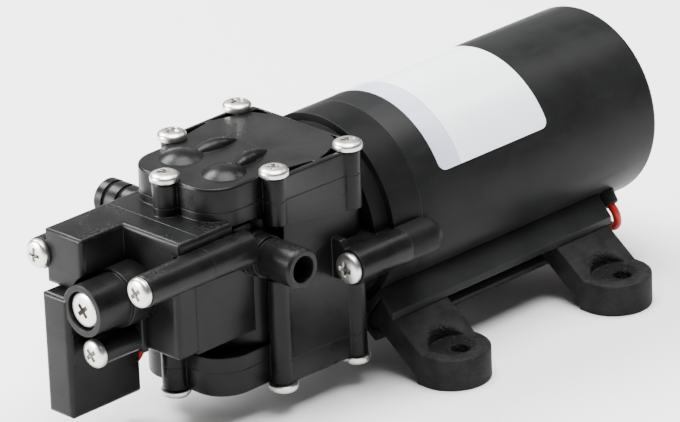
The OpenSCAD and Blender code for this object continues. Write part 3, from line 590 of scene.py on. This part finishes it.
def cross_cutter(reach, width, depth, top):
    """Tapered cross with a pointed middle, to be cut out of a head."""
    arms = []
    for turn in (0.0, math.pi / 2):
        deselect()
        bpy.ops.mesh.primitive_cube_add(size=1.0, location=(0.0, 0.0, top))
        arm = bpy.context.object
        arm.scale = (2 * reach, width, 2 * depth)
        arm.rotation_euler = (0.0, 0.0, turn)
        bpy.ops.object.transform_apply(location=True, rotation=True, scale=True)
        edit(arm)
        select(arm, faces=lambda face: face.normal.z < -0.9)
        bpy.ops.transform.resize(value=(0.72, 0.72, 1.0), center_override=(0.0, 0.0, top - depth))
        bpy.ops.object.mode_set(mode="OBJECT")
        arms.append(arm)
    deselect()
    bpy.ops.mesh.primitive_cone_add(
        vertices=24, radius1=0.2 * width, radius2=0.8 * width, depth=2.6 * depth, location=(0.0, 0.0, top)
    )
    arms.append(bpy.context.object)
    bpy.ops.object.transform_apply(location=True, rotation=True, scale=True)
    apply_modifier(arms[0], "BOOLEAN", operation="UNION", object=arms[1], solver="EXACT")
    apply_modifier(arms[0], "BOOLEAN", operation="UNION", object=arms[2], solver="EXACT")
    for arm in arms[1:]:
        bpy.data.objects.remove(arm)
    return arms[0]


def cross_screw(name, place, shank_r, edge, recess=1.0, crown=0.58):
    """Domed screw with a cross recess, its head's underside at the origin."""
    r, t, tail = place["head_r"], place["head_t"], place["length"]
    dome = [(t * (1.0 - crown + crown * math.sin(a)), r * math.cos(a) ** (0.25 + 0.64 * crown)) for a in
            [math.radians(d) for d in range(0, 90, 10)]]
    profile = [(-tail, 0.0), (-tail, shank_r * 0.7), (-tail + 0.5 * MM, shank_r), (0.0, shank_r),
               (0.0, r - 0.25 * MM), (0.25 * MM, r), *dome, (t, 0.0)]
    screw = turned(name, profile, 48, "Z")
    cutter = cross_cutter(0.58 * r * recess, 0.33 * r * recess, 0.55 * t, t)
    apply_modifier(screw, "BOOLEAN", operation="DIFFERENCE", object=cutter, solver="EXACT")
    bpy.data.objects.remove(cutter)
    # Marks the faces of the cross recess, which the steel finish darkens as painted shade.
    mark = screw.data.attributes.new("recess", "FLOAT", "FACE")
    for face in screw.data.polygons:
        inside = face.center.xy.length < 0.66 * r and face.center.z > 0.2 * t
        sunk = face.center.z < t * (1.0 - 0.16 * crown) - 0.1 * MM
        mark.data[face.index].value = 1.0 if inside and sunk else 0.0
    apply_modifier(screw, "BEVEL", width=edge, segments=2, limit_method="ANGLE", angle_limit=math.radians(40))
    return screw


def screw_set(node, name, shank_r, edge, recess=1.0, crown=0.58):
    """All the screws of one node as one piece, each turned its own way."""
    places = [screw_place(points) for points in islands(node)]
    model = cross_screw(name, places[0], shank_r, edge, recess, crown)
    copies = []
    for i, place in enumerate(places):
        copy = bpy.data.objects.new(f"{name}_{i}", model.data.copy())
        bpy.context.scene.collection.objects.link(copy)
        turn = Matrix.Rotation(0.7 + 2.4 * i, 4, "Z")
        stand = place["axis"].to_track_quat("Z", "Y").to_matrix().to_4x4()
        copy.data.transform(Matrix.Translation(place["seat"]) @ stand @ turn)
        copies.append(copy)
    bpy.data.objects.remove(model)
    deselect()
    for copy in copies:
        copy.select_set(True)
    bpy.context.view_layer.objects.active = copies[0]
    if len(copies) > 1:
        bpy.ops.object.join()
    piece = copies[0]
    piece.name = name
    smooth(piece, 30.0)
    return finished(piece, node)


class PUMP_OT_covers(bpy.types.Operator):
    """Makes the two covers with a round outer edge"""

    bl_idname = "pump.covers"
    bl_label = "Covers"

    def execute(self, context):
        width = context.scene.pump_sizes.cover_fillet
        for node, side in (("upper_cover", 1.0), ("lower_cover", -1.0)):
            piece = merged_copy(node, f"{node}_moulding")
            level = self.top_level(piece, side)
            edit(piece)
            select(piece, faces=lambda f: f.normal.z * side > 0.99 and abs(f.calc_center_median().z - level) < 0.02 * MM)
            bpy.ops.mesh.delete(type="FACE")
            outline = self.outline(piece)
            self.select_points(piece, outline)
            bpy.ops.mesh.edge_face_add()
            bpy.ops.mesh.inset(thickness=1.06 * width, use_boundary=True, use_even_offset=True)
            bpy.ops.mesh.delete(type="ONLY_FACE")
            select(piece, edges=lambda e: e.is_boundary)
            bpy.ops.mesh.fill(use_beauty=True)
            bpy.ops.mesh.select_all(action="SELECT")
            bpy.ops.mesh.normals_make_consistent(inside=False)
            self.select_points(piece, outline)
            bpy.ops.mesh.bevel(offset=width, offset_type="OFFSET", segments=4, affect="EDGES", clamp_overlap=False)
            bpy.ops.object.mode_set(mode="OBJECT")
            smooth(piece)
            finished(piece, node)
        return {"FINISHED"}

    def top_level(self, piece, side):
        """Height of the flat top of a cover."""
        areas = {}
        for face in piece.data.polygons:
            if face.normal.z * side > 0.99:
                key = round(face.center.z, 5)
                areas[key] = areas.get(key, 0.0) + face.area
        return max(areas, key=areas.get)

    def outline(self, piece):
        """Points of the longest open border, which is the outer one."""
        mesh = bmesh.from_edit_mesh(piece.data)
        left = {e for e in mesh.edges if e.is_boundary}
        best = (0.0, [])
        while left:
            todo = [left.pop()]
            ring = []
            while todo:
                edge = todo.pop()
                ring.append(edge)
                for other in {e for v in edge.verts for e in v.link_edges} & left:
                    left.discard(other)
                    todo.append(other)
            best = max(best, (sum(e.calc_length() for e in ring), [v.co.copy() for e in ring for v in e.verts]),
                       key=lambda found: found[0])
        return {tuple(round(c, 7) for c in point) for point in best[1]}

    def select_points(self, piece, points):
        """Selects the edges between the points of an outline."""
        select(piece, edges=lambda e: all(tuple(round(c, 7) for c in v.co) in points for v in e.verts))


class PUMP_OT_body(bpy.types.Operator):
    """Makes the pump body and the front manifold with soft moulded edges"""

    bl_idname = "pump.body"
    bl_label = "Body and manifold"

    def execute(self, context):
        sizes = context.scene.pump_sizes

        def long_edge(edge):
            return sharp(edge) and edge.calc_length() > 1.6 * MM

        softened("pump_body", "body_moulding", sizes.body_edge, 2, long_edge, "coarse_plastic")
        softened("front_manifold", "manifold_moulding", sizes.body_edge, 2, long_edge, "coarse_plastic")
        return {"FINISHED"}


class PUMP_OT_switch(bpy.types.Operator):
    """Makes the switch box, its cover and the pressure adjuster"""

    bl_idname = "pump.switch"
    bl_label = "Pressure switch"

    def execute(self, context):
        sizes = context.scene.pump_sizes

        def long_edge(edge):
            return sharp(edge) and edge.calc_length() > 3.0 * MM

        softened("switch_housing", "switch_moulding", sizes.body_edge, 2, long_edge)
        softened("switch_cover", "switch_lid", sizes.body_edge, 2, long_edge)
        screw_set("adjuster_screw", "adjuster_cross_head", 1.95 * MM, sizes.screw_edge, 0.85, 0.42)
        return {"FINISHED"}


class PUMP_OT_screws(bpy.types.Operator):
    """Makes the stainless pan head screws with their cross recesses"""

    bl_idname = "pump.screws"
    bl_label = "Screws"

    def execute(self, context):
        edge = context.scene.pump_sizes.screw_edge
        screw_set("cover_screws", "cover_pan_heads", 1.6 * MM, edge)
        screw_set("manifold_screws", "manifold_pan_heads", 1.6 * MM, edge)
        screw_set("switch_screw", "switch_pan_head", 1.6 * MM, edge)
        screw_set("motor_screws", "motor_pan_heads", 1.9 * MM, edge)
        return {"FINISHED"}


class PUMP_OT_motor(bpy.types.Operator):
    """Makes the drawn motor can, its flange and the rubber grommet"""

    bl_idname = "pump.motor"
    bl_label = "Motor"

    def execute(self, context):
        steps = context.scene.pump_sizes.round_steps
        lo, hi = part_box("motor_can")
        centre = (0.0, 0.0, (lo.z + hi.z) / 2)
        r = (hi.y - lo.y) / 2
        wall = 1.6 * MM
        corner = 1.8 * MM
        bend = [(hi.x - corner + corner * math.sin(a), r - corner + corner * math.cos(a))
                for a in [math.radians(d) for d in range(0, 91, 10)]]
        lip = [(lo.x, r - wall), (lo.x, r - 0.25 * MM), (lo.x + 0.08 * MM, r - 0.08 * MM), (lo.x + 0.25 * MM, r)]
        end = [(hi.x, 0.42 * r), (hi.x - 0.35 * MM, 0.40 * r), (hi.x - 0.35 * MM, 0.30 * r), (hi.x, 0.28 * r),
               (hi.x, 0.0)]
        inside = [(hi.x - wall, 0.0), (hi.x - wall, r - wall), (lo.x, r - wall)]
        can = turned("motor_drawn_can", [*lip, *bend, *end, *inside], steps, "X", centre)
        smooth(can)
        finished(can, "motor_can")
        softened("motor_flange", "motor_flange_casting", 0.0)
        softened("lead_grommet", "lead_grommet_sleeve", 0.0)
        return {"FINISHED"}


class PUMP_OT_label(bpy.types.Operator):
    """Makes the bare film label with round corners, wrapped on the can"""

    bl_idname = "pump.label"
    bl_label = "Label"

    def execute(self, context):
        sizes = context.scene.pump_sizes
        lo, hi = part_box("motor_label")
        can_lo, can_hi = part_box("motor_can")
        axis_z = (can_lo.z + can_hi.z) / 2
        radius = (can_hi.y - can_lo.y) / 2 + 0.02 * MM
        points = [v.co for v in frame["nodes"]["motor_label"].data.vertices]
        angles = [math.atan2(p.y, p.z - axis_z) for p in points]
        arc = radius * (max(angles) - min(angles))
        middle = radius * (max(angles) + min(angles)) / 2
        deselect()
        bpy.ops.mesh.primitive_plane_add(size=1.0, location=((lo.x + hi.x) / 2, middle, 0.0))
        film = bpy.context.object
        film.name = "label_bare_film"
        film.scale = (hi.x - lo.x, arc, 1.0)
        bpy.ops.object.transform_apply(location=True, rotation=True, scale=True)
        edit(film)
        bpy.ops.mesh.bevel(offset=sizes.label_corner, segments=6, affect="VERTICES")
        strips = 48
        for i in range(1, strips):
            bpy.ops.mesh.select_all(action="SELECT")
            cut = middle + arc * (i / strips - 0.5)
            bpy.ops.mesh.bisect(plane_co=(0.0, cut, 0.0), plane_no=(0.0, 1.0, 0.0))
        bpy.ops.object.mode_set(mode="OBJECT")
        for vert in film.data.vertices:
            turn = vert.co.y / radius
            vert.co.y = radius * math.sin(turn)
            vert.co.z = axis_z + radius * math.cos(turn)
        apply_modifier(film, "SOLIDIFY", thickness=sizes.film, offset=1.0)
        smooth(film)
        finished(film, "motor_label")
        return {"FINISHED"}


class PUMP_OT_leads(bpy.types.Operator):
    """Makes the two short red leads as smooth round wires"""

    bl_idname = "pump.leads"
    bl_label = "Leads"

    def execute(self, context):
        for node in ("motor_lead", "switch_lead"):
            piece = merged_copy(node, f"{node}_wire")
            apply_modifier(piece, "SUBSURF", levels=2, render_levels=2)
            smooth(piece, 60.0)
            finished(piece, node)
        return {"FINISHED"}


class PUMP_OT_base(bpy.types.Operator):
    """Makes the base with its two rails"""

    bl_idname = "pump.base"
    bl_label = "Base"

    def execute(self, context):
        softened("base_rail", "base_rails", context.scene.pump_sizes.rail_edge, 2)
        return {"FINISHED"}


class PUMP_OT_feet(bpy.types.Operator):
    """Makes the four rubber feet with rounded edges"""

    bl_idname = "pump.feet"
    bl_label = "Feet"

    def execute(self, context):
        width = context.scene.pump_sizes.foot_edge
        for node in ("front_left_foot", "front_right_foot", "rear_left_foot", "rear_right_foot"):
            softened(node, f"{node}_rubber", width, 3)
        return {"FINISHED"}


class PUMP_OT_inner_works(bpy.types.Operator):
    """Gives every inner part of the pump and motor its finish"""

    bl_idname = "pump.inner_works"
    bl_label = "Inner works"

    def execute(self, context):
        for name, node in frame["nodes"].items():
            node.data.materials.clear()
            node.data.materials.append(FINISHES[SLOT_OF[name]])
        return {"FINISHED"}


class PUMP_OT_stage(bpy.types.Operator):
    """Lays the floor and sets the lights and the camera"""

    bl_idname = "pump.stage"
    bl_label = "Studio"

    def execute(self, context):
        studio = context.scene.pump_studio
        self.floor(context)
        self.light("overhead", (0.0, -0.08, 1.30), 1.1, studio.key_power)
        self.light("head_end", (-1.15, 0.75, 0.42), 0.7, studio.side_power)
        self.light("behind", (0.80, 0.95, 0.62), 0.9, studio.rim_power)
        self.light("glint_back", (-0.12, 0.77, 0.91), 0.5, studio.back_glint)
        self.light("glint_side", (0.80, -0.12, 0.89), 0.4, studio.side_glint)
        world = bpy.data.worlds.new("even_light")
        world.use_nodes = True
        background = next(n for n in world.node_tree.nodes if n.type == "BACKGROUND")
        background.inputs["Color"].default_value = (1.0, 1.0, 1.0, 1.0)
        background.inputs["Strength"].default_value = studio.sky
        context.scene.world = world
        self.camera(context, studio)
        return {"FINISHED"}

    def floor(self, context):
        deselect()
        bpy.ops.mesh.primitive_plane_add(size=8.0, location=(0.0, 0.0, 0.0))
        floor = context.object
        floor.name = "studio_floor"
        floor.data.materials.append(pale_floor("studio_paper", tuple(context.scene.pump_colours.floor)))

    def light(self, name, place, size, power):
        lamp = bpy.data.lights.new(name, "AREA")
        lamp.shape = "DISK"
        lamp.size = size
        lamp.energy = power
        holder = bpy.data.objects.new(name, lamp)
        aim = Vector((0.0, 0.0, 0.04)) - Vector(place)
        holder.location = place
        holder.rotation_euler = aim.to_track_quat("-Z", "Y").to_euler()
        bpy.context.scene.collection.objects.link(holder)

    def camera(self, context, studio):
        target = Vector((-0.0525, -0.0175, 0.0493))
        a, e, roll = (math.radians(v) for v in (studio.azimuth, studio.elevation, studio.roll))
        back = Vector((math.sin(a) * math.cos(e), -math.cos(a) * math.cos(e), math.sin(e)))
        level = Vector((math.cos(a), math.sin(a), 0.0))
        right = level * math.cos(roll) - back.cross(level) * math.sin(roll)
        up = back.cross(right)
        camera = bpy.data.cameras.new("camera")
        camera.lens = studio.lens
        camera.sensor_width = 36.0
        camera.clip_end = 20.0
        holder = bpy.data.objects.new("camera", camera)
        holder.matrix_world = Matrix.Translation(target + back * studio.distance) @ Matrix(
            (right, up, back)).transposed().to_4x4()
        context.scene.collection.objects.link(holder)
        context.scene.camera = holder


OPERATORS = (
    PUMP_OT_covers, PUMP_OT_body, PUMP_OT_switch, PUMP_OT_screws, PUMP_OT_motor, PUMP_OT_label,
    PUMP_OT_leads, PUMP_OT_base, PUMP_OT_feet, PUMP_OT_inner_works, PUMP_OT_stage,
)


class VIEW3D_PT_pump(bpy.types.Panel):
    """Lists the steps that dress the pump"""

    bl_idname = "VIEW3D_PT_pump"
    bl_label = "Water pump"
    bl_space_type = "VIEW_3D"
    bl_region_type = "UI"
    bl_category = "Pump"

    def draw(self, context):
        for operator in OPERATORS:
            self.layout.operator(operator.bl_idname)


CLASSES = (PumpSizes, PumpColours, PumpStudio, *OPERATORS, VIEW3D_PT_pump)


def register():
    for cls in CLASSES:
        bpy.utils.register_class(cls)
    bpy.types.Scene.pump_sizes = PointerProperty(type=PumpSizes)
    bpy.types.Scene.pump_colours = PointerProperty(type=PumpColours)
    bpy.types.Scene.pump_studio = PointerProperty(type=PumpStudio)


def unregister():
    del bpy.types.Scene.pump_studio
    del bpy.types.Scene.pump_colours
    del bpy.types.Scene.pump_sizes
    for cls in reversed(CLASSES):
        bpy.utils.unregister_class(cls)


def main():
    register()
    make_finishes(bpy.context.scene.pump_colours)
    bpy.ops.pump.inner_works()
    bpy.ops.pump.covers()
    bpy.ops.pump.body()
    bpy.ops.pump.switch()
    bpy.ops.pump.screws()
    bpy.ops.pump.motor()
    bpy.ops.pump.label()
    bpy.ops.pump.leads()
    bpy.ops.pump.base()
    bpy.ops.pump.feet()
    bpy.ops.pump.stage()


if __name__ == "__main__":
    main()
